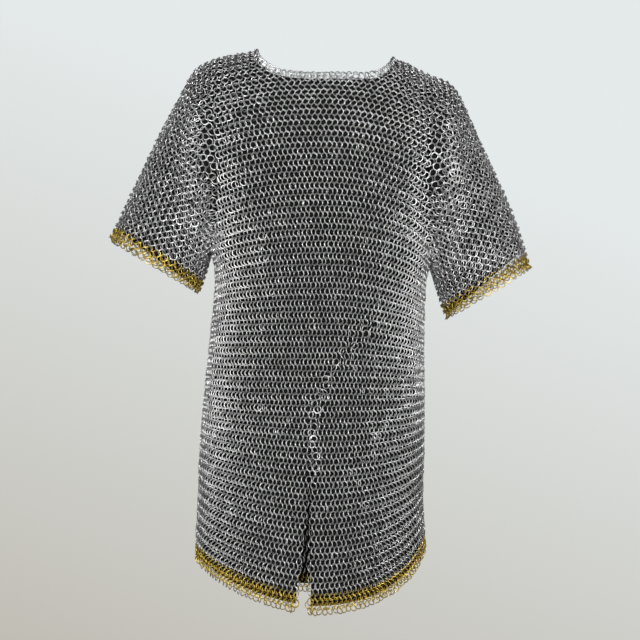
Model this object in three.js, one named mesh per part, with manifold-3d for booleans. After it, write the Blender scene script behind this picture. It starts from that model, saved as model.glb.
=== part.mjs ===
// Chainmail hauberk: an elbow-length mail shirt with a slit skirt and brass hem and cuffs.
// Millimetres. +Z is up, the front faces -Y, and +X is the wearer's left.
// The origin is at the neck, on the level of the shoulders, where the wearer carries the weight.
// Each panel is a wall of woven mail: a grid of points on the draped surface, thickened inwards.
// Rows run round the body and along the arms. Row 0 is the shoulder ridge, armpitRow passes
// under the arm, and hemRow is the lower edge.
import * as THREE from 'three';
import { mergeVertices } from 'three/addons/utils/BufferGeometryUtils.js';
import Module from 'manifold-3d';

const ringPitch = 9.55;        // from one row of rings to the next, down the body
const trimPitch = 7.6;         // the same in the brass rows, which no weight pulls apart
const ridgeRows = 24;          // rows from the shoulder ridge to where the chest stands upright
const armpitRow = 38;
const slitRow = 73;
const trimRow = 99;            // first brass row of the hem
const hemRow = 103;
const ridgeTop = 6;            // level of the shoulder ridge, carried on to the middle
const chestTop = -190;         // level at which the shoulders start to round over
const wallOuter = 1;           // outline of the ring tops to the wall's outer face
const wallThickness = 4;
const seamGap = 0.3;
const sectionPower = 2.3;      // 2 is an ellipse, more is squarer
const shoulderPower = 2.2;
const rowBow = 1.4;            // how soon the skirt rows rise towards the sides
const skirtSlant = 0.5;        // share of that rise that the right skirt takes from the slit on
const armSpan = 150;           // from the armhole to the middle of the chest
const cuffTrimWidth = 28;      // along the arm
const armFoldDepth = 13;       // trough where the sleeve meets the chest
const armFoldWidth = 26;
const armpitSteps = 14;        // faces from the shoulder ridge to the armpit

// Sections of the body: level, the two side outlines, and how far front and back stand out.
// Above the armpits the sides are the widths that the chest would reach without sleeves.
const bodySections = [
  { z: 10, right: -262, left: 262, front: 112, back: 108 },
  { z: -100, right: -258, left: 258, front: 124, back: 116 },
  { z: -190, right: -246, left: 248, front: 130, back: 122 },
  { z: -290, right: -214, left: 220, front: 130, back: 122 },
  { z: -351, right: -187, left: 191, front: 127, back: 118 },
  { z: -391, right: -181, left: 177, front: 124, back: 114 },
  { z: -493, right: -190, left: 173, front: 119, back: 109 },
  { z: -595, right: -200, left: 173, front: 118, back: 112 },
  { z: -663, right: -206, left: 173, front: 121, back: 119 },
  { z: -765, right: -210, left: 171, front: 124, back: 126 },
  { z: -850, right: -214, left: 176, front: 124, back: 129 },
  { z: -950, right: -212, left: 179, front: 122, back: 129 },
];

// How the rows hang: sag of the chest rows towards each side, rise of the skirt rows
// towards the side seams, and how far round each row the armhole or side seam lies.
const rowDrape = [
  { row: 0, sagRight: 18, sagLeft: 45, riseRight: 0, riseLeft: 0, reach: 41 },
  { row: 12, sagRight: 20, sagLeft: 46, riseRight: 0, riseLeft: 0, reach: 41.5 },
  { row: 24, sagRight: 24, sagLeft: 47, riseRight: 0, riseLeft: 0, reach: 44 },
  { row: 31, sagRight: 25, sagLeft: 48, riseRight: 0, riseLeft: 0, reach: 52 },
  { row: 35, sagRight: 25, sagLeft: 48, riseRight: 0, riseLeft: 0, reach: 63 },
  { row: 38, sagRight: 25, sagLeft: 47, riseRight: 0, riseLeft: 0, reach: 90 },
  { row: 48, sagRight: 9, sagLeft: 33, riseRight: 0, riseLeft: 0, reach: 90 },
  { row: 58, sagRight: 0, sagLeft: 18, riseRight: 0, riseLeft: 0, reach: 90 },
  { row: 67, sagRight: 0, sagLeft: 4, riseRight: 8, riseLeft: 8, reach: 90 },
  { row: 76, sagRight: 0, sagLeft: 0, riseRight: 27, riseLeft: 27, reach: 90 },
  { row: 85, sagRight: 0, sagLeft: 0, riseRight: 46, riseLeft: 49, reach: 90 },
  { row: 103, sagRight: 0, sagLeft: 0, riseRight: 80, riseLeft: 98, reach: 90 },
];

// Sleeves, from the armhole to the cuff: the outer line over the arm, the inner line
// under it, and half the depth from front to back. x is counted outwards from the middle.
const sleeveSections = {
  right: [
    { out: [177, -13], inn: [187, -351], depth: 118 },
    { out: [213, -33], inn: [188, -358], depth: 112 },
    { out: [240, -76], inn: [190, -365], depth: 106 },
    { out: [273, -134], inn: [193, -374], depth: 98 },
    { out: [307, -203], inn: [197, -386], depth: 90 },
    { out: [340, -273], inn: [202, -400], depth: 84 },
    { out: [364, -323], inn: [207, -415], depth: 80 },
  ],
  left: [
    { out: [177, -38], inn: [187, -374], depth: 118 },
    { out: [216, -55], inn: [187, -384], depth: 112 },
    { out: [241, -91], inn: [189, -394], depth: 106 },
    { out: [267, -148], inn: [193, -408], depth: 98 },
    { out: [300, -218], inn: [198, -424], depth: 92 },
    { out: [331, -290], inn: [203, -440], depth: 87 },
    { out: [356, -370], inn: [210, -458], depth: 84 },
  ],
};

// Neckline, seen from above, and the slit's line and half width by row.
const neck = { x: 5, y: -11, halfWidth: 117, halfDepth: 76, power: 3 };
const slitLine = [
  { row: 73, x: -15, half: 0.6 },
  { row: 81, x: -19, half: 2.5 },
  { row: 90, x: -26, half: 7 },
  { row: 103, x: -32, half: 11 },
];

const steel = { color: 0x8b8b88, roughness: 0.4, metalness: 0.9 };
const brass = { color: 0xb59a4a, roughness: 0.4, metalness: 0.9 };

// Smooth interpolation of one column of a table, keyed by another column.
function lookUp(table, key, column, at) {
  const keys = table.map((entry) => entry[key]);
  const values = table.map((entry) => entry[column]);
  const rising = keys[1] > keys[0] ? 1 : -1;
  const last = keys.length - 1;
  let i = 0;
  while (i < last - 1 && (at - keys[i + 1]) * rising > 0) {
    i += 1;
  }
  const span = keys[i + 1] - keys[i];
  const t = THREE.MathUtils.clamp((at - keys[i]) / span, 0, 1);
  const slopeAt = (j) => {
    const a = Math.max(j - 1, 0);
    const b = Math.min(j + 1, last);
    return (values[b] - values[a]) / (keys[b] - keys[a]);
  };
  const t2 = t * t;
  const t3 = t2 * t;
  return (2 * t3 - 3 * t2 + 1) * values[i] + (t3 - 2 * t2 + t) * span * slopeAt(i)
    + (3 * t2 - 2 * t3) * values[i + 1] + (t3 - t2) * span * slopeAt(i + 1);
}

function rowLevel(row) {
  if (row < ridgeRows) {
    const turn = (Math.PI / 2) * (1 - row / ridgeRows);
    return chestTop + (ridgeTop - chestTop) * Math.sin(turn) ** (2 / shoulderPower);
  }
  const steelRows = Math.min(row, trimRow) - ridgeRows;
  return chestTop - ringPitch * steelRows - trimPitch * Math.max(row - trimRow, 0);
}

function ridgeRounding(row) {
  if (row >= ridgeRows) {
    return 1;
  }
  const turn = (Math.PI / 2) * (1 - row / ridgeRows);
  return Math.cos(turn) ** (2 / shoulderPower);
}

// A point of the body. across runs from -1 (right) to 1 (left), face is 'front' or 'back'.
function bodyPoint(across, row, face) {
  const reach = THREE.MathUtils.degToRad(lookUp(rowDrape, 'row', 'reach', row));
  const turn = Math.min(Math.max(reach, 0.1), Math.PI / 2) * across;
  const side = Math.abs(Math.sin(turn)) ** (2 / sectionPower);
  const middle = Math.cos(turn) ** (2 / sectionPower);
  const sag = lookUp(rowDrape, 'row', across < 0 ? 'sagRight' : 'sagLeft', row);
  const rise = lookUp(rowDrape, 'row', across < 0 ? 'riseRight' : 'riseLeft', row);
  const slant = face === 'front' && across < 0 ? skirtSlant : 0;
  const bow = 1 - Math.cos(turn) ** rowBow;
  const lift = rise * (slant * Math.abs(Math.sin(turn)) + (1 - slant) * bow);
  const share = Math.sin(turn) / Math.sin(Math.min(reach, Math.PI / 2));
  const z = rowLevel(row) - sag * share * share + lift;
  const right = lookUp(bodySections, 'z', 'right', z);
  const left = lookUp(bodySections, 'z', 'left', z);
  const centre = (right + left) / 2;
  const x = centre + ((left - right) / 2) * side * Math.sign(across);
  const depth = lookUp(bodySections, 'z', face, z) * middle * ridgeRounding(row);
  const fold = armFold(1 - Math.abs(across), row / armpitRow, armSpan);
  const y = Math.max(depth - fold, 0);
  return new THREE.Vector3(x, face === 'front' ? -y : y, z);
}

// The trough along the armhole, deepest near the armpit. away is the share of span from it.
function armFold(away, around, span) {
  if (around > 1) {
    return 0;
  }
  const near = Math.exp(-(((away * span) / armFoldWidth) ** 2));
  const low = THREE.MathUtils.smoothstep(around, 0.35, 0.75) * (1 - around ** 6);
  return armFoldDepth * near * low;
}

// A point of a sleeve. along runs from 0 (armhole) to 1 (cuff), around from 0 (over the arm)
// to 1 (under it).
function sleevePoint(side, along, around, face) {
  const sections = sleeveSections[side].map((s, i, all) => ({
    at: i / (all.length - 1), outX: s.out[0], outZ: s.out[1], innX: s.inn[0], innZ: s.inn[1],
    depth: s.depth,
  }));
  const mirror = side === 'left' ? 1 : -1;
  const column = (name) => lookUp(sections, 'at', name, along);
  const edge = bodyPoint(mirror, around * armpitRow, face);
  const first = bodyPoint(mirror, 0, face);
  const last = bodyPoint(mirror, armpitRow, face);
  const blend = THREE.MathUtils.smoothstep(along, 0, 0.6);
  const chord = last.clone().sub(first).setY(0);
  const offset = edge.clone().sub(first).setY(0);
  const alongChord = offset.dot(chord) / chord.lengthSq();
  const aside = offset.clone().addScaledVector(chord, -alongChord);
  const turn = Math.PI * around;
  const share = THREE.MathUtils.lerp(alongChord, (1 - Math.cos(turn)) / 2, blend);
  const start = sleeveSections[side][0];
  const outX = mirror * column('outX') + (first.x - mirror * start.out[0]) * (1 - blend);
  const outZ = column('outZ') + (first.z - start.out[1]) * (1 - blend);
  const innX = mirror * column('innX') + (last.x - mirror * start.inn[0]) * (1 - blend);
  const innZ = column('innZ') + (last.z - start.inn[1]) * (1 - blend);
  const outward = face === 'front' ? -1 : 1;
  const round = column('depth') * Math.sin(turn) * outward;
  return new THREE.Vector3(
    outX + (innX - outX) * share + aside.x * (1 - blend),
    THREE.MathUtils.lerp(edge.y, round, blend),
    outZ + (innZ - outZ) * share + aside.z * (1 - blend),
  );
}

// Outward direction of a surface, from points a little way off in both directions.
function outwardAt(surface, u, v, stepU, stepV, flip) {
  const alongU = surface(u + stepU, v).sub(surface(u - stepU, v));
  const alongV = surface(u, v + stepV).sub(surface(u, v - stepV));
  return alongU.cross(alongV).multiplyScalar(flip).normalize();
}

function bodyOutward(across, row, face) {
  const u = THREE.MathUtils.clamp(across, -0.985, 0.985);
  const v = THREE.MathUtils.clamp(row, 0.5, hemRow - 0.5);
  const surface = (a, r) => bodyPoint(a, r, face);
  const out = outwardAt(surface, u, v, 0.01, 0.3, face === 'front' ? -1 : 1);
  if (row <= 0 || (Math.abs(across) >= 1 && row >= armpitRow)) {
    out.setY(0).normalize();
  }
  return out;
}

function sleeveOutward(side, along, around, face) {
  const u = THREE.MathUtils.clamp(along, 0.02, 0.98);
  const v = THREE.MathUtils.clamp(around, 0.01, 0.99);
  const mirror = (side === 'left' ? 1 : -1) * (face === 'front' ? -1 : 1);
  const surface = (a, r) => sleevePoint(side, a, r, face);
  const out = outwardAt(surface, u, v, 0.015, 0.008, mirror);
  if (around <= 0 || around >= 1) {
    out.setY(0).normalize();
  }
  return out;
}

// At the armhole the two walls share one direction where the surface runs on smoothly,
// and part where they fold against each other under the arm.
function armholeOutward(side, around, face, own) {
  const mirror = side === 'left' ? 1 : -1;
  const body = bodyOutward(mirror, around * armpitRow, face);
  const sleeve = sleeveOutward(side, 0, around, face);
  const share = THREE.MathUtils.smoothstep(body.dot(sleeve), -0.2, 0.5);
  if (own === 'body') {
    return body.addScaledVector(sleeve, share).normalize();
  }
  return sleeve.addScaledVector(body, share).normalize();
}

function steps(from, to, count) {
  return Array.from({ length: count + 1 }, (unused, i) => from + ((to - from) * i) / count);
}

// A wall from a grid of points, each with its outward direction. loop joins the last column
// to the first.
function wallFrom(columns, loop) {
  const width = columns.length;
  const height = columns[0].length;
  const positions = [];
  for (const depth of [wallOuter, wallOuter + wallThickness]) {
    for (const column of columns) {
      for (const node of column) {
        const p = node.point.clone().addScaledVector(node.outward, -depth);
        positions.push(p.x, p.y, p.z);
      }
    }
  }
  const index = [];
  const at = (layer, i, j) => layer * width * height + (i % width) * height + j;
  const quad = (a, b, c, d) => index.push(a, b, c, a, c, d);
  const spans = loop ? width : width - 1;
  for (let i = 0; i < spans; i += 1) {
    for (let j = 0; j < height - 1; j += 1) {
      quad(at(0, i, j), at(0, i + 1, j), at(0, i + 1, j + 1), at(0, i, j + 1));
      quad(at(1, i, j), at(1, i, j + 1), at(1, i + 1, j + 1), at(1, i + 1, j));
    }
    quad(at(0, i, 0), at(1, i, 0), at(1, i + 1, 0), at(0, i + 1, 0));
    quad(at(0, i, height - 1), at(0, i + 1, height - 1), at(1, i + 1, height - 1),
      at(1, i, height - 1));
  }
  if (!loop) {
    for (let j = 0; j < height - 1; j += 1) {
      quad(at(0, 0, j), at(0, 0, j + 1), at(1, 0, j + 1), at(1, 0, j));
      quad(at(0, width - 1, j), at(1, width - 1, j), at(1, width - 1, j + 1),
        at(0, width - 1, j + 1));
    }
  }
  const geometry = new THREE.BufferGeometry();
  geometry.setAttribute('position', new THREE.Float32BufferAttribute(positions, 3));
  geometry.setIndex(index);
  return facingOut(geometry);
}

function facingOut(geometry) {
  const position = geometry.getAttribute('position');
  const index = geometry.getIndex();
  const a = new THREE.Vector3();
  const b = new THREE.Vector3();
  const c = new THREE.Vector3();
  let volume = 0;
  for (let i = 0; i < index.count; i += 3) {
    a.fromBufferAttribute(position, index.getX(i));
    b.fromBufferAttribute(position, index.getX(i + 1));
    c.fromBufferAttribute(position, index.getX(i + 2));
    volume += a.dot(b.cross(c));
  }
  if (volume < 0) {
    const flipped = Array.from(index.array);
    for (let i = 0; i < flipped.length; i += 3) {
      [flipped[i + 1], flipped[i + 2]] = [flipped[i + 2], flipped[i + 1]];
    }
    geometry.setIndex(flipped);
  }
  return geometry;
}

// Moves a seam node back from the seam line by half the gap, towards a neighbouring point.
function backFrom(point, towards) {
  const away = towards.clone().sub(point).normalize();
  return point.clone().addScaledVector(away, seamGap / 2);
}

function slitAt(row, edge) {
  const x = lookUp(slitLine, 'row', 'x', row) + edge * lookUp(slitLine, 'row', 'half', row);
  let low = -0.5;
  let high = 0.5;
  for (let i = 0; i < 30; i += 1) {
    const middle = (low + high) / 2;
    if (bodyPoint(middle, row, 'front').x < x) {
      low = middle;
    } else {
      high = middle;
    }
  }
  return (low + high) / 2;
}

// A body panel between two rows. from and to are shares across, or functions of the row.
function bodyPanel(face, rows, from, to, count) {
  const valueAt = (edge, row) => (typeof edge === 'function' ? edge(row) : edge);
  const firstRow = rows[0];
  const lastRow = rows[rows.length - 1];
  const columns = steps(0, 1, count).map((share) => rows.map((row) => {
    const across = THREE.MathUtils.lerp(valueAt(from, row), valueAt(to, row), share);
    let point = bodyPoint(across, row, face);
    const onSide = Math.abs(across) >= 1;
    let outward = bodyOutward(across, row, face);
    if (onSide && row < armpitRow) {
      const side = across > 0 ? 'left' : 'right';
      outward = armholeOutward(side, row / armpitRow, face, 'body');
      point = backFrom(point, bodyPoint(across * 0.98, row, face));
    }
    if (row === lastRow && lastRow < hemRow) {
      point = backFrom(point, bodyPoint(across, row - 0.2, face));
    }
    if (row === firstRow && firstRow > 0) {
      point = backFrom(point, bodyPoint(across, row + 0.2, face));
    }
    if (row === 0 || (onSide && row >= armpitRow)) {
      point.setY((face === 'front' ? -seamGap : seamGap) / 2);
    }
    return { point, outward };
  }));
  return wallFrom(columns, false);
}

// A length of sleeve, woven round the arm as one tube.
function sleeveTube(side, from, to, count) {
  const around = steps(0, 1, armpitSteps);
  const turns = [
    ...around.slice(0, -1).map((share) => [share, 'front']),
    ...around.slice(1).reverse().map((share) => [share, 'back']),
  ];
  const columns = turns.map(([share, face]) => steps(from, to, count).map((along) => {
    let point = sleevePoint(side, along, share, face);
    let outward = sleeveOutward(side, along, share, face);
    if (along === 0) {
      outward = armholeOutward(side, share, face, 'sleeve');
    }
    if (along === from) {
      point = backFrom(point, sleevePoint(side, along + 0.01, share, face));
    }
    if (along === to && to < 1) {
      point = backFrom(point, sleevePoint(side, along - 0.01, share, face));
    }
    return { point, outward };
  }));
  return wallFrom(columns, true);
}

// Share of the sleeve at which the brass begins, measured along the line over the arm.
function cuffStart(side) {
  const samples = steps(0, 1, 60).map((along) => sleevePoint(side, along, 0, 'front'));
  let left = cuffTrimWidth;
  let i = samples.length - 1;
  while (left > 0) {
    left -= samples[i].distanceTo(samples[i - 1]);
    i -= 1;
  }
  return i / 60;
}


const upperRows = steps(0, armpitRow, armpitSteps);
const waistRows = steps(armpitRow, slitRow, 6);
const skirtRows = steps(slitRow, trimRow, 4);
const hemRows = steps(trimRow, hemRow, 1);

const wasm = await Module();
wasm.setup();

function toSolid(geometry) {
  const bare = geometry.clone();
  bare.deleteAttribute('normal');
  bare.deleteAttribute('uv');
  const merged = mergeVertices(bare, 1e-4);
  return new wasm.Manifold(new wasm.Mesh({
    numProp: 3,
    vertProperties: new Float32Array(merged.getAttribute('position').array),
    triVerts: new Uint32Array(merged.getIndex().array),
  }));
}

function fromSolid(solid) {
  const mesh = solid.getMesh();
  const geometry = new THREE.BufferGeometry();
  geometry.setAttribute('position', new THREE.BufferAttribute(mesh.vertProperties, 3));
  geometry.setIndex(new THREE.BufferAttribute(mesh.triVerts, 1));
  return geometry;
}

function neckCutter() {
  const outline = steps(0, 2 * Math.PI, 40).slice(0, -1).map((turn) => new THREE.Vector2(
    neck.x + neck.halfWidth * Math.sign(Math.cos(turn)) * Math.abs(Math.cos(turn)) ** (2 / neck.power),
    neck.y + neck.halfDepth * Math.sign(Math.sin(turn)) * Math.abs(Math.sin(turn)) ** (2 / neck.power),
  ));
  const height = 200;
  const geometry = new THREE.ExtrudeGeometry(new THREE.Shape(outline), {
    depth: height, bevelEnabled: false,
  });
  geometry.translate(0, 0, -height / 2);
  return toSolid(geometry);
}

function cutNeck(geometry) {
  return fromSolid(toSolid(geometry).subtract(neckCutter()));
}

const hauberk = new THREE.Group();

function addPiece(name, geometry, finish) {
  geometry.computeVertexNormals();
  const mesh = new THREE.Mesh(geometry, new THREE.MeshStandardMaterial(finish));
  mesh.name = name;
  hauberk.add(mesh);
}

for (const face of ['front', 'back']) {
  addPiece(`${face}_yoke`, cutNeck(bodyPanel(face, upperRows, -1, 1, 20)), steel);
  addPiece(`${face}_waist`, bodyPanel(face, waistRows, -1, 1, 20), steel);
}

const slitRight = (row) => slitAt(row, -1);
const slitLeft = (row) => slitAt(row, 1);
addPiece('skirt_front_right', bodyPanel('front', skirtRows, -1, slitRight, 9), steel);
addPiece('skirt_front_left', bodyPanel('front', skirtRows, slitLeft, 1, 9), steel);
addPiece('skirt_back', bodyPanel('back', skirtRows, -1, 1, 18), steel);
addPiece('hem_trim_front_right', bodyPanel('front', hemRows, -1, slitRight, 9), brass);
addPiece('hem_trim_front_left', bodyPanel('front', hemRows, slitLeft, 1, 9), brass);
addPiece('hem_trim_back', bodyPanel('back', hemRows, -1, 1, 18), brass);

for (const side of ['right', 'left']) {
  const start = cuffStart(side);
  addPiece(`sleeve_${side}`, sleeveTube(side, 0, start, 8), steel);
  addPiece(`cuff_trim_${side}`, sleeveTube(side, start, 1, 1), brass);
}

export default hauberk;
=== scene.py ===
import math
import bpy
import numpy as np
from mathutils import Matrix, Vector


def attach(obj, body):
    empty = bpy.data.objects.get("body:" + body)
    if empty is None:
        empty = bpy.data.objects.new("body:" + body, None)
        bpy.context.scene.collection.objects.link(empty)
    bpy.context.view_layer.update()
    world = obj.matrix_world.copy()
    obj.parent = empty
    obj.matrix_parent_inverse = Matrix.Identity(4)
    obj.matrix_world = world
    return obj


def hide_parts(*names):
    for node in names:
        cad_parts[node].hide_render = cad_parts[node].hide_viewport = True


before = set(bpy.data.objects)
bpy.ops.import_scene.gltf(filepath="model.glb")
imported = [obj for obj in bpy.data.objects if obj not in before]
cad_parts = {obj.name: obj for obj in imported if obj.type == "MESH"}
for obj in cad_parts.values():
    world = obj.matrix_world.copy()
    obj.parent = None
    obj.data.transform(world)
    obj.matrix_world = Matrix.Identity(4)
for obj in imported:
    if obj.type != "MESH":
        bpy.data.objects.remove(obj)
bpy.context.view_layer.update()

# Chainmail hauberk, in metres: front towards -Y, +X is the wearer's left.
# Row 0 is the shoulder ridge, row 38 passes under the arms, row 103 is the hem.

ring = {
    "radius": 0.00615,      # middle of the wire
    "wire": 0.00092,        # wire radius
    "roundSteps": 10,
    "wireSteps": 3,
}

weave = {
    "rowStep": 0.00955,
    "trimStep": 0.0076,
    "ridgeRows": 24,
    "armpitRow": 38,
    "slitRow": 73,
    "trimRow": 99,
    "hemRow": 103,
    "ringsRound": 138,      # in each row below the arms
    "middleDepth": 0.004,   # from the outline to the middle of the rings
    "shadeSheetDepth": 0.0066,   # from the outline to the dark sheet behind them
    "shadeSheetWall": 0.0005,
}

# How unevenly the rings hang: nod and sway in radians, drift in metres.
uneven = {"nod": 0.07, "sway": 0.09, "drift": 0.00028, "tone": 0.45, "toneSpread": 0.22}

drape = {
    "ridgeTop": 0.006,
    "chestTop": -0.19,
    "sectionPower": 2.3,
    "shoulderPower": 2.2,
    "rowBow": 1.4,
    "skirtSlant": 0.5,
    "armFoldDepth": 0.013,
    "armFoldWidth": 0.026,
    "armFoldFrom": 0.35,
    "armFoldTo": 0.75,
    "armSpan": 0.15,
    "sleeveBlend": 0.6,
}

bodySections = {
    "columns": ("z", "right", "left", "front", "back"),
    "rows": (
        (0.01, -0.262, 0.262, 0.112, 0.108),
        (-0.1, -0.258, 0.258, 0.124, 0.116),
        (-0.19, -0.246, 0.248, 0.13, 0.122),
        (-0.29, -0.214, 0.22, 0.13, 0.122),
        (-0.351, -0.187, 0.191, 0.127, 0.118),
        (-0.391, -0.181, 0.177, 0.124, 0.114),
        (-0.493, -0.19, 0.173, 0.119, 0.109),
        (-0.595, -0.2, 0.173, 0.118, 0.112),
        (-0.663, -0.206, 0.173, 0.121, 0.119),
        (-0.765, -0.21, 0.171, 0.124, 0.126),
        (-0.85, -0.214, 0.176, 0.124, 0.129),
        (-0.95, -0.212, 0.179, 0.122, 0.129),
    ),
}

# Sag of the rows towards each side, their rise towards the side seams, and how far round they reach.
rowDrape = {
    "columns": ("row", "sagRight", "sagLeft", "riseRight", "riseLeft", "reach"),
    "rows": (
        (0, 0.018, 0.045, 0, 0, 41),
        (12, 0.02, 0.046, 0, 0, 41.5),
        (24, 0.024, 0.047, 0, 0, 44),
        (31, 0.025, 0.048, 0, 0, 52),
        (35, 0.025, 0.048, 0, 0, 63),
        (38, 0.025, 0.047, 0, 0, 90),
        (48, 0.009, 0.033, 0, 0, 90),
        (58, 0, 0.018, 0, 0, 90),
        (67, 0, 0.004, 0.008, 0.008, 90),
        (76, 0, 0, 0.027, 0.027, 90),
        (85, 0, 0, 0.046, 0.049, 90),
        (103, 0, 0, 0.08, 0.098, 90),
    ),
}

# Sleeves from armhole to cuff: line over the arm, line under it, half depth.
sleeveColumns = ("at", "outX", "outZ", "innX", "innZ", "depth")
sleeveSections = {
    "right": {
        "columns": sleeveColumns,
        "rows": (
            (0, 0.177, -0.013, 0.187, -0.351, 0.118),
            (1 / 6, 0.213, -0.033, 0.188, -0.358, 0.112),
            (2 / 6, 0.24, -0.076, 0.19, -0.365, 0.106),
            (3 / 6, 0.273, -0.134, 0.193, -0.374, 0.098),
            (4 / 6, 0.307, -0.203, 0.197, -0.386, 0.09),
            (5 / 6, 0.34, -0.273, 0.202, -0.4, 0.084),
            (1, 0.364, -0.323, 0.207, -0.415, 0.08),
        ),
    },
    "left": {
        "columns": sleeveColumns,
        "rows": (
            (0, 0.177, -0.038, 0.187, -0.374, 0.118),
            (1 / 6, 0.216, -0.055, 0.187, -0.384, 0.112),
            (2 / 6, 0.241, -0.091, 0.189, -0.394, 0.106),
            (3 / 6, 0.267, -0.148, 0.193, -0.408, 0.098),
            (4 / 6, 0.3, -0.218, 0.198, -0.424, 0.092),
            (5 / 6, 0.331, -0.29, 0.203, -0.44, 0.087),
            (1, 0.356, -0.37, 0.21, -0.458, 0.084),
        ),
    },
}

slitLine = {
    "columns": ("row", "x", "half"),
    "rows": (
        (73, -0.015, 0.0006),
        (81, -0.019, 0.0025),
        (90, -0.026, 0.007),
        (103, -0.032, 0.011),
    ),
}

neck = {
    "x": 0.005,
    "y": -0.011,
    "halfWidth": 0.117,
    "halfDepth": 0.076,
    "power": 3,
    "ringMargin": 0.004,
    "shadeSheetMargin": 0.002,
}


def lookUp(table, name, at):
    rows = np.array(table["rows"], dtype=float)
    keys = rows[:, 0]
    values = rows[:, table["columns"].index(name)]
    if keys[1] < keys[0]:
        keys, values = keys[::-1], values[::-1]
    at = np.clip(np.asarray(at, dtype=float), keys[0], keys[-1])
    low = np.clip(np.searchsorted(keys, at, side="right") - 1, 0, len(keys) - 2)
    before = np.maximum(np.arange(len(keys)) - 1, 0)
    after = np.minimum(np.arange(len(keys)) + 1, len(keys) - 1)
    slopes = (values[after] - values[before]) / (keys[after] - keys[before])
    span = keys[low + 1] - keys[low]
    t = (at - keys[low]) / span
    return (
        (2 * t**3 - 3 * t**2 + 1) * values[low] + (t**3 - 2 * t**2 + t) * span * slopes[low]
        + (3 * t**2 - 2 * t**3) * values[low + 1] + (t**3 - t**2) * span * slopes[low + 1]
    )


def smoothStep(value, low, high):
    t = np.clip((value - low) / (high - low), 0, 1)
    return t * t * (3 - 2 * t)


def unit(vectors):
    return vectors / np.maximum(np.linalg.norm(vectors, axis=-1, keepdims=True), 1e-12)


def bodyPoint(across, row, face):
    across, row = np.broadcast_arrays(np.asarray(across, dtype=float), np.asarray(row, dtype=float))
    reach = np.radians(np.clip(lookUp(rowDrape, "reach", row), 5, 90))
    turn = reach * across
    power = 2 / drape["sectionPower"]
    ridge = np.pi / 2 * (1 - np.minimum(row / weave["ridgeRows"], 1))
    shoulder = 2 / drape["shoulderPower"]
    level = drape["chestTop"] + (drape["ridgeTop"] - drape["chestTop"]) * np.sin(ridge) ** shoulder
    steelRows = np.clip(row, weave["ridgeRows"], weave["trimRow"]) - weave["ridgeRows"]
    level = level - weave["rowStep"] * steelRows
    level = level - weave["trimStep"] * np.maximum(row - weave["trimRow"], 0)
    sag = np.where(across < 0, lookUp(rowDrape, "sagRight", row), lookUp(rowDrape, "sagLeft", row))
    rise = np.where(across < 0, lookUp(rowDrape, "riseRight", row), lookUp(rowDrape, "riseLeft", row))
    slant = np.where(across < 0, drape["skirtSlant"], 0) if face == "front" else 0
    bow = 1 - np.cos(turn).clip(0) ** drape["rowBow"]
    lift = rise * (slant * np.abs(np.sin(turn)) + (1 - slant) * bow)
    z = level - sag * (np.sin(turn) / np.sin(reach)) ** 2 + lift
    right = lookUp(bodySections, "right", z)
    left = lookUp(bodySections, "left", z)
    x = (right + left) / 2 + (left - right) / 2 * np.abs(np.sin(turn)) ** power * np.sign(across)
    depth = lookUp(bodySections, face, z) * np.cos(turn).clip(0) ** power
    depth = depth * np.cos(ridge).clip(0) ** shoulder
    around = row / weave["armpitRow"]
    away = (1 - np.abs(across)) * drape["armSpan"] / drape["armFoldWidth"]
    fold = np.exp(-away**2) * smoothStep(around, drape["armFoldFrom"], drape["armFoldTo"])
    fold = fold * (1 - np.minimum(around, 1) ** 6)
    y = np.maximum(depth - drape["armFoldDepth"] * fold, 0)
    return np.stack([x, -y if face == "front" else y, z], axis=-1)


def sleevePoint(side, along, around, face):
    along, around = np.broadcast_arrays(np.asarray(along, dtype=float), np.asarray(around, dtype=float))
    mirror = 1 if side == "left" else -1
    table = sleeveSections[side]
    edge = bodyPoint(mirror, around * weave["armpitRow"], face)
    first = bodyPoint(mirror, 0, face)
    last = bodyPoint(mirror, weave["armpitRow"], face)
    blend = smoothStep(along, 0, drape["sleeveBlend"])
    flat = np.array([1, 0, 1])
    chord = (last - first) * flat
    offset = (edge - first) * flat
    alongChord = offset @ chord / (chord @ chord)
    aside = offset - alongChord[..., None] * chord
    turn = np.pi * around
    share = alongChord * (1 - blend) + (1 - np.cos(turn)) / 2 * blend
    start = dict(zip(sleeveColumns, table["rows"][0]))
    outX = mirror * lookUp(table, "outX", along) + (first[0] - mirror * start["outX"]) * (1 - blend)
    outZ = lookUp(table, "outZ", along) + (first[2] - start["outZ"]) * (1 - blend)
    innX = mirror * lookUp(table, "innX", along) + (last[0] - mirror * start["innX"]) * (1 - blend)
    innZ = lookUp(table, "innZ", along) + (last[2] - start["innZ"]) * (1 - blend)
    outward = -1 if face == "front" else 1
    tube = lookUp(table, "depth", along) * np.sin(turn) * outward
    x = outX + (innX - outX) * share + aside[..., 0] * (1 - blend)
    y = edge[..., 1] * (1 - blend) + tube * blend
    z = outZ + (innZ - outZ) * share + aside[..., 2] * (1 - blend)
    return np.stack([x, y, z], axis=-1)


def outwardAt(surface, u, v, stepU, stepV, flip):
    alongU = surface(u + stepU, v) - surface(u - stepU, v)
    alongV = surface(u, v + stepV) - surface(u, v - stepV)
    return unit(np.cross(alongU, alongV) * flip)


def bodyOutward(across, row, face):
    u = np.clip(across, -0.985, 0.985)
    v = np.clip(row, 0.5, weave["hemRow"] - 0.5)
    out = outwardAt(lambda a, r: bodyPoint(a, r, face), u, v, 0.01, 0.3, -1 if face == "front" else 1)
    onSeam = (np.abs(across) >= 1) & (row >= weave["armpitRow"]) | (row <= 0)
    out[..., 1] = np.where(onSeam, 0, out[..., 1])
    return unit(out)


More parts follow.
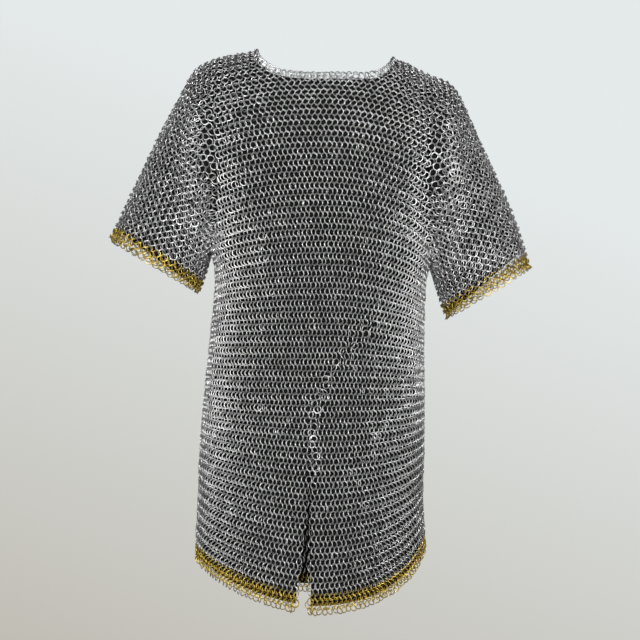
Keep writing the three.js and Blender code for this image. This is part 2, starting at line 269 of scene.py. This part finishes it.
def sleeveOutward(side, along, around, face):
    u = np.clip(along, 0.02, 0.98)
    v = np.clip(around, 0.01, 0.99)
    flip = (1 if side == "left" else -1) * (-1 if face == "front" else 1)
    out = outwardAt(lambda a, r: sleevePoint(side, a, r, face), u, v, 0.015, 0.008, flip)
    out[..., 1] = np.where((around <= 0) | (around >= 1), 0, out[..., 1])
    return unit(out)


def onBody(across, row, face, depth):
    across, row = np.broadcast_arrays(np.asarray(across, dtype=float), np.asarray(row, dtype=float))
    outward = bodyOutward(across, row, face)
    return bodyPoint(across, row, face) - outward * depth, outward


def onSleeve(side, along, around, face, depth):
    along, around = np.broadcast_arrays(np.asarray(along, dtype=float), np.asarray(around, dtype=float))
    outward = sleeveOutward(side, along, around, face)
    return sleevePoint(side, along, around, face) - outward * depth, outward


def slitAcross(row, edge):
    x = lookUp(slitLine, "x", row) + edge * lookUp(slitLine, "half", row)
    low = np.full(np.shape(row), -0.5)
    high = np.full(np.shape(row), 0.5)
    for step in range(30):
        middle = (low + high) / 2
        short = bodyPoint(middle, row, "front")[..., 0] < x
        low = np.where(short, middle, low)
        high = np.where(short, high, middle)
    return (low + high) / 2


def inNeck(points, margin):
    u = np.abs(points[..., 0] - neck["x"]) / (neck["halfWidth"] + margin)
    v = np.abs(points[..., 1] - neck["y"]) / (neck["halfDepth"] + margin)
    return (u ** neck["power"] + v ** neck["power"] < 1) & (points[..., 2] > -0.16)


# Materials


def newMaterial(name, colour, metallic, roughness):
    material = bpy.data.materials.new(name)
    material.use_nodes = True
    material.diffuse_color = (*colour, 1)
    shader = material.node_tree.nodes["Principled BSDF"]
    shader.inputs["Base Color"].default_value = (*colour, 1)
    shader.inputs["Metallic"].default_value = metallic
    shader.inputs["Roughness"].default_value = roughness
    return material, shader


def wireMaterial(name, finish):
    material, shader = newMaterial(name, finish["colour"], 1, finish["roughness"])
    nodes = material.node_tree.nodes
    links = material.node_tree.links
    tone = nodes.new("ShaderNodeAttribute")
    tone.attribute_name = "ringTone"
    ramp = nodes.new("ShaderNodeValToRGB")
    ramp.color_ramp.elements[0].color = (*finish["dark"], 1)
    ramp.color_ramp.elements[1].color = (*finish["light"], 1)
    links.new(tone.outputs["Fac"], ramp.inputs["Fac"])
    place = nodes.new("ShaderNodeTexCoord")
    stain = nodes.new("ShaderNodeTexNoise")
    stain.inputs["Scale"].default_value = finish["stainScale"]
    stain.inputs["Detail"].default_value = 3
    links.new(place.outputs["Object"], stain.inputs["Vector"])
    mix = nodes.new("ShaderNodeMix")
    mix.data_type = "RGBA"
    mix.blend_type = "MULTIPLY"
    mix.inputs[0].default_value = finish["stain"]
    links.new(ramp.outputs["Color"], mix.inputs[6])
    links.new(stain.outputs["Fac"], mix.inputs[7])
    links.new(mix.outputs[2], shader.inputs["Base Color"])
    wear = nodes.new("ShaderNodeMapRange")
    wear.inputs["To Min"].default_value = finish["roughness"] - 0.1
    wear.inputs["To Max"].default_value = finish["roughness"] + 0.14
    links.new(stain.outputs["Fac"], wear.inputs["Value"])
    links.new(wear.outputs["Result"], shader.inputs["Roughness"])
    drawn = nodes.new("ShaderNodeTexNoise")
    drawn.inputs["Scale"].default_value = 1400
    links.new(place.outputs["Object"], drawn.inputs["Vector"])
    bump = nodes.new("ShaderNodeBump")
    bump.inputs["Strength"].default_value = 0.15
    bump.inputs["Distance"].default_value = 0.0002
    links.new(drawn.outputs["Fac"], bump.inputs["Height"])
    links.new(bump.outputs["Normal"], shader.inputs["Normal"])
    return material


steelFinish = {
    "colour": (0.55, 0.55, 0.55),
    "dark": (0.42, 0.42, 0.42),
    "light": (0.84, 0.84, 0.84),
    "roughness": 0.36,
    "stainScale": 55,
    "stain": 0.35,
}

brassFinish = {
    "colour": (0.6, 0.46, 0.15),
    "dark": (0.44, 0.31, 0.05),
    "light": (0.9, 0.68, 0.15),
    "roughness": 0.34,
    "stainScale": 55,
    "stain": 0.3,
}

steelWire = wireMaterial("steelWire", steelFinish)
brassWire = wireMaterial("brassWire", brassFinish)
# Near-black material of the dark sheets: painted shade between and behind the rings, and also the black
# garment worn beneath.
shadeAndUndergarment, shadowShader = newMaterial("shadeAndUndergarment", (0.003, 0.003, 0.003), 0, 0.95)
shadowShader.inputs["Specular IOR Level"].default_value = 0.1
print("materials ready")


# The ring: one turn of round wire, modelled once and copied along every row.


def modelRing():
    bpy.ops.object.select_all(action="DESELECT")
    bpy.ops.mesh.primitive_torus_add(
        major_radius=ring["radius"], minor_radius=ring["wire"],
        major_segments=ring["roundSteps"], minor_segments=ring["wireSteps"],
    )
    master = bpy.context.object
    master.name = "masterRing"
    bpy.ops.object.mode_set(mode="EDIT")
    bpy.ops.mesh.select_all(action="SELECT")
    bpy.ops.transform.resize(value=(1, 1, 0.96))
    bpy.ops.object.mode_set(mode="OBJECT")
    bpy.ops.object.shade_smooth()
    return master


masterRing = modelRing()
chance = np.random.default_rng(7)


def ringNodes():
    group = bpy.data.node_groups.new("linkRings", "GeometryNodeTree")
    group.interface.new_socket("Geometry", in_out="INPUT", socket_type="NodeSocketGeometry")
    group.interface.new_socket("Geometry", in_out="OUTPUT", socket_type="NodeSocketGeometry")
    nodes = group.nodes
    links = group.links
    start = nodes.new("NodeGroupInput")
    finish = nodes.new("NodeGroupOutput")
    source = nodes.new("GeometryNodeObjectInfo")
    source.inputs["Object"].default_value = masterRing
    turn = nodes.new("GeometryNodeInputNamedAttribute")
    turn.data_type = "FLOAT_VECTOR"
    turn.inputs["Name"].default_value = "ringTurn"
    place = nodes.new("GeometryNodeInstanceOnPoints")
    joined = nodes.new("GeometryNodeRealizeInstances")
    links.new(start.outputs["Geometry"], place.inputs["Points"])
    links.new(source.outputs["Geometry"], place.inputs["Instance"])
    links.new(turn.outputs["Attribute"], place.inputs["Rotation"])
    links.new(place.outputs["Instances"], joined.inputs["Geometry"])
    links.new(joined.outputs["Geometry"], finish.inputs["Geometry"])
    return group


linkRings = ringNodes()


class RingBatch:
    def __init__(self):
        self.centres = []
        self.runs = []
        self.outs = []
        self.leans = []
        self.loose = []

    def add(self, centres, runs, outs, leans, loose):
        self.centres.append(centres)
        self.runs.append(runs)
        self.outs.append(outs)
        self.leans.append(np.broadcast_to(leans, len(centres)))
        self.loose.append(np.broadcast_to(loose, len(centres)))


def turnsOf(runs, outs, leans, loose):
    across = unit(np.cross(outs, runs))
    count = len(runs)
    nod = chance.normal(0, uneven["nod"], count) * loose
    sway = chance.normal(0, uneven["sway"], count) * loose
    angle = leans + sway
    axis = unit(np.cos(angle)[:, None] * outs + np.sin(angle)[:, None] * runs + nod[:, None] * across)
    side = unit(np.cross(across, axis))
    other = np.cross(axis, side)
    pitch = -np.arcsin(np.clip(side[:, 2], -1, 1))
    roll = np.arctan2(other[:, 2], axis[:, 2])
    yaw = np.arctan2(side[:, 1], side[:, 0])
    return np.stack([roll, pitch, yaw], axis=-1)


def weaveRings(name, batch, material):
    centres = np.concatenate(batch.centres)
    runs = unit(np.concatenate(batch.runs))
    outs = unit(np.concatenate(batch.outs))
    loose = np.concatenate(batch.loose)
    turns = turnsOf(runs, outs, np.concatenate(batch.leans), loose)
    centres = centres + chance.normal(0, uneven["drift"], centres.shape) * loose[:, None]
    mesh = bpy.data.meshes.new(name)
    mesh.vertices.add(len(centres))
    mesh.vertices.foreach_set("co", centres.astype(np.float32).ravel())
    turnData = mesh.attributes.new("ringTurn", "FLOAT_VECTOR", "POINT")
    turnData.data.foreach_set("vector", turns.astype(np.float32).ravel())
    toneData = mesh.attributes.new("ringTone", "FLOAT", "POINT")
    tones = np.clip(chance.normal(uneven["tone"], uneven["toneSpread"], len(centres)), 0, 1)
    toneData.data.foreach_set("value", tones.astype(np.float32))
    piece = bpy.data.objects.new(name, mesh)
    bpy.context.collection.objects.link(piece)
    bpy.ops.object.select_all(action="DESELECT")
    piece.select_set(True)
    bpy.context.view_layer.objects.active = piece
    rings = piece.modifiers.new("rings", "NODES")
    rings.node_group = linkRings
    bpy.ops.object.modifier_apply(modifier=rings.name)
    piece.data.materials.clear()
    piece.data.materials.append(material)
    print(name, len(centres), "rings")
    return piece


def leanFor(pitch):
    degrees = np.interp(pitch, (0.0065, 0.0072, 0.009, 0.010, 0.012), (47, 44, 34, 29, 22))
    return np.radians(degrees)


def rowLengths(points):
    gaps = np.linalg.norm(np.diff(points, axis=0), axis=1)
    return np.concatenate([[0], np.cumsum(gaps)])


def rowRings(points, outs, places):
    length = rowLengths(points)
    centres = np.stack([np.interp(places, length, points[:, i]) for i in range(3)], axis=-1)
    outward = np.stack([np.interp(places, length, outs[:, i]) for i in range(3)], axis=-1)
    ahead = np.stack([np.interp(places + 0.002, length, points[:, i]) for i in range(3)], axis=-1)
    behind = np.stack([np.interp(places - 0.002, length, points[:, i]) for i in range(3)], axis=-1)
    return centres, unit(ahead - behind), unit(outward)


def rowLength(points):
    return np.linalg.norm(np.diff(points, axis=0), axis=1).sum()


# Upper body: rows from armhole to armhole, each laid out from the middle.
# Over the shoulders the rows lie closer together and the rings of a row farther apart.
# The front has an even count of rows and the back an odd one, so the weave runs on over the ridge.
yokeFaces = {"front": 0, "back": 1}
closeRows = {"step": 0.0083, "reach": 0.22}
yokePitch = {
    "columns": ("row", "pitch"),
    "rows": ((0, 0.0115), (8, 0.0115), (15, 0.0105), (22, 0.0086), (31, 0.0079), (38, 0.0071)),
}


# The outline's row for each row of rings, spaced along the cloth over the shoulders.
def yokeRowsOf(face, odd):
    rows = np.linspace(0, weave["armpitRow"], 381)
    runs = [rowLengths(onBody(np.full(rows.shape, share), rows, face, weave["middleDepth"])[0])
            for share in (-0.5, 0, 0.5)]
    run = np.mean(runs, axis=0)
    overShoulder = rows <= weave["ridgeRows"]
    below = run[overShoulder][-1] + (rows - weave["ridgeRows"]) * weave["rowStep"]
    run = np.where(overShoulder, run, below)
    step = np.interp(run, (0, closeRows["reach"]), (closeRows["step"], weave["rowStep"]))
    passed = np.concatenate([[0], np.cumsum(np.diff(run) / ((step[1:] + step[:-1]) / 2))])
    count = 2 * round((passed[-1] - odd) / 2) + odd
    return np.interp((np.arange(count) + 0.5) / count, passed / passed[-1], rows)


# Moves the last place to endGap short of length, and the ones before it less and less.
def fitEnd(places, length, endGap):
    shift = length - endGap - places[-1]
    return places + shift * (places / places[-1]) ** 4


def weaveYoke():
    shares = np.linspace(-1, 1, 241)
    for face, firstOdd in yokeFaces.items():
        batch = RingBatch()
        for k, row in enumerate(yokeRowsOf(face, firstOdd)):
            odd = (k + firstOdd) % 2
            points, outs = onBody(shares, row, face, weave["middleDepth"])
            middle = rowLength(points[:121])
            whole = rowLength(points)
            pitch = float(lookUp(yokePitch, "pitch", row))
            endGap = (0.25 + 0.5 * odd) * pitch
            leftHalf = (np.arange(60) + 0.25 + 0.5 * odd) * pitch
            rightHalf = (np.arange(1, 60) - 0.25 - 0.5 * odd) * pitch
            leftHalf = fitEnd(leftHalf[leftHalf < whole - middle - 0.3 * pitch], whole - middle, endGap)
            rightHalf = fitEnd(rightHalf[rightHalf < middle - 0.3 * pitch], middle, endGap)
            places = np.concatenate([middle - rightHalf[::-1], middle + leftHalf])
            centres, runs, outward = rowRings(points, outs, places)
            keep = ~inNeck(centres, neck["ringMargin"])
            lean = leanFor(pitch) * (1 if odd else -1)
            batch.add(centres[keep], runs[keep], outward[keep], lean, 1)
        if face == "front":
            addNeckline(batch)
        piece = weaveRings(face + "YokeRings", batch, steelWire)
        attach(piece, "root")
        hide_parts(face + "_yoke")


neckline = {"pitch": 0.0098, "inset": 0.001, "lean": 0.45, "stand": 1.1}


def addNeckline(batch):
    rows = np.linspace(0.2, 20, 160)[:, None]
    shares = np.linspace(-0.9, 0.9, 240)[None, :]
    cloud = []
    for face in ("front", "back"):
        points, outs = onBody(shares, rows, face, weave["middleDepth"])
        cloud.append((points.reshape(-1, 3), outs.reshape(-1, 3)))
    points = np.concatenate([c[0] for c in cloud])
    outs = np.concatenate([c[1] for c in cloud])
    turns = np.linspace(0, 2 * np.pi, 721)
    power = 2 / neck["power"]
    width = neck["halfWidth"] + neckline["inset"]
    depth = neck["halfDepth"] + neckline["inset"]
    x = neck["x"] + width * np.sign(np.cos(turns)) * np.abs(np.cos(turns)) ** power
    y = neck["y"] + depth * np.sign(np.sin(turns)) * np.abs(np.sin(turns)) ** power
    nearest = [int(np.argmin((points[:, 0] - a) ** 2 + (points[:, 1] - b) ** 2)) for a, b in zip(x, y)]
    line = np.stack([x, y, points[nearest, 2]], axis=-1)
    line[:, 2] = np.convolve(np.pad(line[:, 2], 6, mode="wrap"), np.ones(13) / 13, mode="valid")
    whole = rowLength(line)
    count = round(whole / neckline["pitch"])
    places = (np.arange(count) + 0.5) * whole / count
    centres, runs, outward = rowRings(line, outs[nearest], places)
    away = centres - np.array([neck["x"], neck["y"], 0])
    away[:, 2] = 0
    outward = unit(outward + neckline["stand"] * unit(away))
    outward = unit(outward - runs * (outward * runs).sum(axis=1, keepdims=True))
    batch.add(centres, runs, outward, neckline["lean"], 1.6)


weaveYoke()


# Body below the arms: rows run right round, and part at the slit.


def lowerRow(row):
    parted = row >= weave["slitRow"]
    startShare = float(slitAcross(np.array(row), 1)) if parted else 0.0
    endShare = float(slitAcross(np.array(row), -1)) if parted else 0.0
    parts = (
        ("frontLeft", "front", startShare, 1),
        ("back", "back", 1, -1),
        ("frontRight", "front", -1, endShare),
    )
    points, outs, names = [], [], []
    for name, face, first, last in parts:
        shares = np.linspace(first, last, 161)
        p, n = onBody(shares, row, face, weave["middleDepth"])
        points.append(p)
        outs.append(n)
        names += [name] * len(shares)
    return np.concatenate(points), np.concatenate(outs), names


joinLine = {
    "columns": ("row", "x"),
    "rows": ((51, 0.09), (53, 0.08), (56, 0.052), (61, 0.016), (67, -0.008), (73, -0.015), (79, -0.018)),
}


def joinLooseness(centres, row):
    if row < 51 or row > 79:
        return np.ones(len(centres))
    x = float(lookUp(joinLine, "x", row))
    near = np.exp(-((centres[:, 0] - x) / 0.009) ** 2) * (centres[:, 1] < 0)
    return 1 + 3.5 * near


def weaveBody():
    batches = {}
    count = weave["ringsRound"]
    for k in range(weave["armpitRow"], weave["hemRow"]):
        row = k + 0.5
        points, outs, names = lowerRow(row)
        length = rowLengths(points)
        pitch = length[-1] / count
        places = (np.arange(count) + 0.25 + 0.5 * (k % 2)) * pitch
        places = places[places < length[-1]]
        centres, runs, outward = rowRings(points, outs, places)
        where = np.array(names)[np.searchsorted(length, places).clip(0, len(names) - 1)]
        loose = joinLooseness(centres, row)
        if k == weave["hemRow"] - 1:
            loose = loose * 2.2
        lean = leanFor(pitch) * (1 if k % 2 else -1)
        level = "waist" if k < weave["slitRow"] else "skirt" if k < weave["trimRow"] else "hem"
        for part in ("frontLeft", "back", "frontRight"):
            chosen = where == part
            key = (level, "front" if level == "waist" and part != "back" else part)
            batch = batches.setdefault(key, RingBatch())
            batch.add(centres[chosen], runs[chosen], outward[chosen], lean, loose[chosen])
    return batches


bodyPieces = {
    ("waist", "front"): ("frontWaistRings", "front_waist"),
    ("waist", "back"): ("backWaistRings", "back_waist"),
    ("skirt", "frontRight"): ("rightSkirtRings", "skirt_front_right"),
    ("skirt", "frontLeft"): ("leftSkirtRings", "skirt_front_left"),
    ("skirt", "back"): ("backSkirtRings", "skirt_back"),
    ("hem", "frontRight"): ("rightHemRings", "hem_trim_front_right"),
    ("hem", "frontLeft"): ("leftHemRings", "hem_trim_front_left"),
    ("hem", "back"): ("backHemRings", "hem_trim_back"),
}

# Loose rings at the corners of the slit: two hang open, two edge on.
strayRings = {
    "frontRight": ((-0.0439, -0.124, -0.918, 0.35), (-0.0504, -0.124, -0.928, 1.35)),
    "frontLeft": ((-0.0212, -0.124, -0.9214, -0.3), (-0.0179, -0.124, -0.929, -1.3)),
}

bodyBatches = weaveBody()
for part, stray in strayRings.items():
    for x, y, z, turn in stray:
        out = np.array([[math.sin(turn), -math.cos(turn), 0.0]])
        run = np.array([[math.cos(turn), math.sin(turn), 0.0]])
        bodyBatches["hem", part].add(np.array([[x, y, z]]), run, out, 0, 0)
for key, (pieceName, nodeName) in bodyPieces.items():
    isBrass = key[0] == "hem"
    piece = weaveRings(pieceName, bodyBatches[key], brassWire if isBrass else steelWire)
    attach(piece, "root")
    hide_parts(nodeName)


# Sleeves: rows run along the arm and are counted from the cuff.
sleevePitch = {
    "columns": ("around", "pitch"),
    "rows": ((0, 0.0112), (0.3, 0.0114), (0.7, 0.011), (1, 0.0105)),
}
cuffColumns = 2


def weaveSleeve(side):
    steel = RingBatch()
    brass = RingBatch()
    shares = np.linspace(0, 1, 161)
    for face in ("front", "back"):
        for k in range(weave["armpitRow"]):
            around = (k + 0.5) / weave["armpitRow"]
            points, outs = onSleeve(side, shares, around, face, weave["middleDepth"])
            points, outs = points[::-1], outs[::-1]
            whole = rowLength(points)
            pitch = float(lookUp(sleevePitch, "pitch", around))
            odd = (k + (face == "back")) % 2
            places = (np.arange(60) + 0.45 + 0.5 * odd) * pitch
            places = fitEnd(places[places < whole - 0.3 * pitch], whole, (0.75 - 0.5 * odd) * pitch)
            centres, runs, outward = rowRings(points, outs, places)
            lean = leanFor(pitch) * (1 if odd else -1) * (-1 if side == "left" else 1)
            isBrass = np.arange(len(places)) < cuffColumns
            steel.add(centres[~isBrass], runs[~isBrass], outward[~isBrass], lean, 1.3)
            brass.add(centres[isBrass], runs[isBrass], outward[isBrass], lean, 1.6)
    name = side + "Sleeve"
    piece = weaveRings(name + "Rings", steel, steelWire)
    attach(piece, "root")
    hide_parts("sleeve_" + side)
    trim = weaveRings(side + "CuffRings", brass, brassWire)
    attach(trim, "root")
    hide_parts("cuff_trim_" + side)


weaveSleeve("right")
weaveSleeve("left")
print("rings woven")


# The dark sheets behind the rings, which keep the gaps of the weave dark: painted shade in the depth of
# the weave, standing also for the black garment worn beneath.


def shadeSheet(name, pointAt, across, down):
    bpy.ops.object.select_all(action="DESELECT")
    bpy.ops.mesh.primitive_grid_add(x_subdivisions=across, y_subdivisions=down, size=2)
    piece = bpy.context.object
    piece.name = name
    count = len(piece.data.vertices)
    flat = np.empty(count * 3, dtype=np.float32)
    piece.data.vertices.foreach_get("co", flat)
    flat = flat.reshape(-1, 3)
    placed = pointAt((flat[:, 0] + 1) / 2, (1 - flat[:, 1]) / 2)
    piece.data.vertices.foreach_set("co", placed.astype(np.float32).ravel())
    piece.data.update()
    wall = piece.modifiers.new("wall", "SOLIDIFY")
    wall.thickness = weave["shadeSheetWall"]
    wall.offset = 0
    bpy.ops.object.modifier_apply(modifier=wall.name)
    bpy.ops.object.mode_set(mode="EDIT")
    bpy.ops.mesh.select_all(action="SELECT")
    bpy.ops.mesh.normals_make_consistent(inside=False)
    bpy.ops.object.mode_set(mode="OBJECT")
    piece.data.materials.clear()
    piece.data.materials.append(shadeAndUndergarment)
    return piece


def neckCutter():
    bpy.ops.object.select_all(action="DESELECT")
    bpy.ops.mesh.primitive_cylinder_add(vertices=64, radius=1, depth=0.4)
    cutter = bpy.context.object
    margin = neck["shadeSheetMargin"]
    for vertex in cutter.data.vertices:
        turn = math.atan2(vertex.co.y, vertex.co.x)
        power = 2 / neck["power"]
        c, s = math.cos(turn), math.sin(turn)
        width = neck["halfWidth"] + margin
        depth = neck["halfDepth"] + margin
        vertex.co.x = neck["x"] + width * math.copysign(abs(c) ** power, c)
        vertex.co.y = neck["y"] + depth * math.copysign(abs(s) ** power, s)
    return cutter


def cutNeck(piece):
    cutter = neckCutter()
    bpy.ops.object.select_all(action="DESELECT")
    piece.select_set(True)
    bpy.context.view_layer.objects.active = piece
    hole = piece.modifiers.new("hole", "BOOLEAN")
    hole.operation = "DIFFERENCE"
    hole.solver = "EXACT"
    hole.object = cutter
    bpy.ops.object.modifier_apply(modifier=hole.name)
    bpy.data.objects.remove(cutter, do_unlink=True)


lastShadeSheetRow = 101.4
lastShadeSheetAlong = 0.93


def bodySheetPoint(face, firstRow, lastRow, fromShare, toShare):
    def place(u, v):
        rows = firstRow + (lastRow - firstRow) * v
        low = fromShare(rows)
        high = toShare(rows)
        return onBody(low + (high - low) * u, rows, face, weave["shadeSheetDepth"])[0]
    return place


def fullRight(rows):
    return np.full(np.shape(rows), -1.0)


def fullLeft(rows):
    return np.full(np.shape(rows), 1.0)


def slitRightEdge(rows):
    return slitAcross(rows, -1) - 0.004


def slitLeftEdge(rows):
    return slitAcross(rows, 1) + 0.004


slit = weave["slitRow"]
bodySheets = (
    ("frontCloth", "front", 0, slit, fullRight, fullLeft, 44, 62, "front_yoke", (0.48, 0.70)),
    ("backCloth", "back", 0, lastShadeSheetRow, fullRight, fullLeft, 44, 84, "back_yoke", (0.50, 0.99)),
    ("rightSkirtCloth", "front", slit, lastShadeSheetRow, fullRight, slitRightEdge, 22, 24,
     "skirt_front_right", (0.24, 0.25)),
    ("leftSkirtCloth", "front", slit, lastShadeSheetRow, slitLeftEdge, fullLeft, 22, 24,
     "skirt_front_left", (0.24, 0.25)),
)

for name, face, first, last, low, high, across, down, node, cut in bodySheets:
    piece = shadeSheet(name, bodySheetPoint(face, first, last, low, high), across, down)
    if first == 0:
        cutNeck(piece)
    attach(piece, "root")
    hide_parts(node)


def sleeveSheetPoint(side):
    def place(u, v):
        turn = u * 2
        front = turn <= 1
        around = np.where(front, turn, 2 - turn)
        along = v * lastShadeSheetAlong
        inFront = onSleeve(side, along, around, "front", weave["shadeSheetDepth"])[0]
        behind = onSleeve(side, along, around, "back", weave["shadeSheetDepth"])[0]
        return np.where(front[:, None], inFront, behind)
    return place


for side in ("right", "left"):
    piece = shadeSheet(side + "SleeveCloth", sleeveSheetPoint(side), 44, 36)
    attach(piece, "root")
    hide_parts("sleeve_" + side)
print("dark sheets ready")

bpy.data.objects.remove(masterRing, do_unlink=True)


# Floor, lights and camera

stage = {"floor": -1.55, "floorSize": 4.4, "floorColour": (0.5, 0.5, 0.49)}
bpy.ops.object.select_all(action="DESELECT")
bpy.ops.mesh.primitive_plane_add(size=stage["floorSize"], location=(0, 0, stage["floor"]))
floor = bpy.context.object
floor.name = "floor"
floorPaint, floorShader = newMaterial("floorPaint", stage["floorColour"], 0, 0.9)
floor.data.materials.append(floorPaint)

world = bpy.data.worlds.new("studio")
bpy.context.scene.world = world
world.use_nodes = True
worldNodes = world.node_tree.nodes
worldLinks = world.node_tree.links
room = worldNodes["Background"]
room.inputs["Color"].default_value = (1, 1, 1, 1)
room.inputs["Strength"].default_value = 0.18
# Camera rays see a backdrop with painted fall-off of light: darker and warmer towards the lower left of
# the frame, lighter and cooler towards the upper right. All other rays see the dim white room.
wall = worldNodes.new("ShaderNodeBackground")
rays = worldNodes.new("ShaderNodeLightPath")
both = worldNodes.new("ShaderNodeMixShader")
frameSpot = worldNodes.new("ShaderNodeTexCoord")
spotParts = worldNodes.new("ShaderNodeSeparateXYZ")
wallShade = worldNodes.new("ShaderNodeMath")
wallShade.operation = "MULTIPLY_ADD"
wallShade.inputs[1].default_value = 0.35
wallRamp = worldNodes.new("ShaderNodeValToRGB")
wallRamp.color_ramp.elements[0].color = (0.53, 0.51, 0.46, 1)
wallRamp.color_ramp.elements[1].color = (0.78, 0.82, 0.82, 1)
worldLinks.new(frameSpot.outputs["Window"], spotParts.inputs[0])
worldLinks.new(spotParts.outputs["X"], wallShade.inputs[0])
worldLinks.new(spotParts.outputs["Y"], wallShade.inputs[2])
worldLinks.new(wallShade.outputs[0], wallRamp.inputs["Fac"])
worldLinks.new(wallRamp.outputs["Color"], wall.inputs["Color"])
worldLinks.new(rays.outputs["Is Camera Ray"], both.inputs[0])
worldLinks.new(room.outputs[0], both.inputs[1])
worldLinks.new(wall.outputs[0], both.inputs[2])
worldLinks.new(both.outputs[0], worldNodes["World Output"].inputs["Surface"])

lamps = (
    ("keyLight", (-0.1, -3.4, 0.2), 1.4, 205),
    ("topLight", (0.1, -1.2, 2.2), 1.2, 22),
    ("fillLight", (1.6, -2.4, -0.3), 1.6, 6),
)
for lampName, place, size, power in lamps:
    lampData = bpy.data.lights.new(lampName, "AREA")
    lampData.size = size
    lampData.energy = power
    lamp = bpy.data.objects.new(lampName, lampData)
    bpy.context.collection.objects.link(lamp)
    lamp.location = place
    aim = Vector((0, 0, -0.45)) - Vector(place)
    lamp.rotation_euler = aim.to_track_quat("-Z", "Y").to_euler()

view = {"place": (-0.0034, -2.6, -0.50), "aim": (-0.0034, 0, -0.459), "lens": 86}
cameraData = bpy.data.cameras.new("camera")
cameraData.lens = view["lens"]
cameraData.sensor_width = 36
camera = bpy.data.objects.new("camera", cameraData)
bpy.context.collection.objects.link(camera)
camera.location = view["place"]
tilt = math.atan2(view["aim"][2] - view["place"][2], view["aim"][1] - view["place"][1])
camera.rotation_euler = (math.pi / 2 + tilt, 0, 0)
bpy.context.scene.camera = camera
bpy.context.scene.view_settings.view_transform = "Standard"
print("studio ready")
